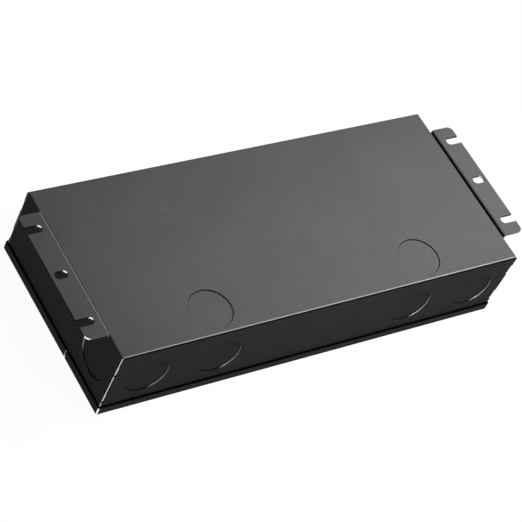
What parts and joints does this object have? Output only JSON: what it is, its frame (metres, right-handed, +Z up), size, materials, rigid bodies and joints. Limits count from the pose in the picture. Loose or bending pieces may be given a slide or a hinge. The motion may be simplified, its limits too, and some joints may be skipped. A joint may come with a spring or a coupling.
{
  "type": "led driver",
  "caption": "Flat folded-steel LED driver with slotted end ears, conduit knock-outs, two screwed covers, a wiring compartment and a board of power parts inside.",
  "frame": {"origin": "centre of the footprint, at the lower face of the covers", "axes": "+X along the housing, -Y towards the wiring compartment, +Z up through the back plate"},
  "size_m": [0.2566, 0.0998, 0.0439],
  "materials": {
    "case_paint": "fine textured powder coat",
    "zinc_steel": "bright zinc",
    "ground_green": "green zinc",
    "laminate": "solder resist",
    "film": "translucent film",
    "terminal_grey": "moulded",
    "contact_copper": "tinned spring strip",
    "fuse_ceramic": "glazed tube",
    "disc_blue": "dipped coat",
    "disc_dark": "dipped coat",
    "film_yellow": "moulded box",
    "ferrite": "sintered",
    "coated_core": "epoxy coat",
    "copper_wire": "enamelled",
    "wrap_tape": "polyester tape",
    "bobbin_black": "moulded",
    "moulding_black": "moulded",
    "spreader": "extruded",
    "sleeve_black": "shrunk sleeve",
    "pad_grey": "soft pad",
    "pad_white": "thin pad",
    "resistor_green": "lacquer"
  },
  "bodies": {
    "root": {"housing_tray": "case_paint", "mounting_ear_left": "case_paint", "mounting_ear_right": "case_paint", "wiring_cover": "case_paint", "driver_cover": "case_paint", "wiring_cover_screws": "zinc_steel", "driver_cover_screws": "zinc_steel", "compartment_divider": "zinc_steel", "ground_screw": "ground_green", "circuit_board": "laminate", "board_standoffs": "zinc_steel", "board_screws": "zinc_steel", "insulating_film": "film", "input_terminal_block": "terminal_grey", "output_terminal_block": "terminal_grey", "dimming_terminal_block": "terminal_grey", "terminal_contacts": "contact_copper", "fuse": "fuse_ceramic", "fuse_clips": "contact_copper", "surge_varistor": "disc_blue", "inrush_thermistor": "disc_dark", "line_filter_capacitors": "film_yellow", "safety_capacitors": "disc_blue", "filter_choke_core": "coated_core", "filter_choke_windings": "copper_wire", "filter_choke_base": "bobbin_black", "bridge_rectifier": "moulding_black", "input_heat_spreader": "spreader", "output_heat_spreader": "spreader", "gap_pads": "pad_grey", "insulator_pads": "pad_white", "power_screws": "zinc_steel", "power_switch": "moulding_black", "boost_diode": "moulding_black", "link_capacitor": "film_yellow", "boost_inductor_core": "ferrite", "boost_inductor_bobbin": "bobbin_black", "boost_inductor_winding": "wrap_tape", "bulk_capacitors": "sleeve_black", "transformer_core": "ferrite", "transformer_bobbin": "bobbin_black", "transformer_windings": "wrap_tape", "output_rectifiers": "moulding_black", "output_choke_core": "ferrite", "output_choke_winding": "copper_wire", "output_capacitors": "sleeve_black", "snubber_resistors": "resistor_green", "optocouplers": "moulding_black", "control_card": "laminate", "control_chips": "moulding_black"}
  },
  "joints": []
}
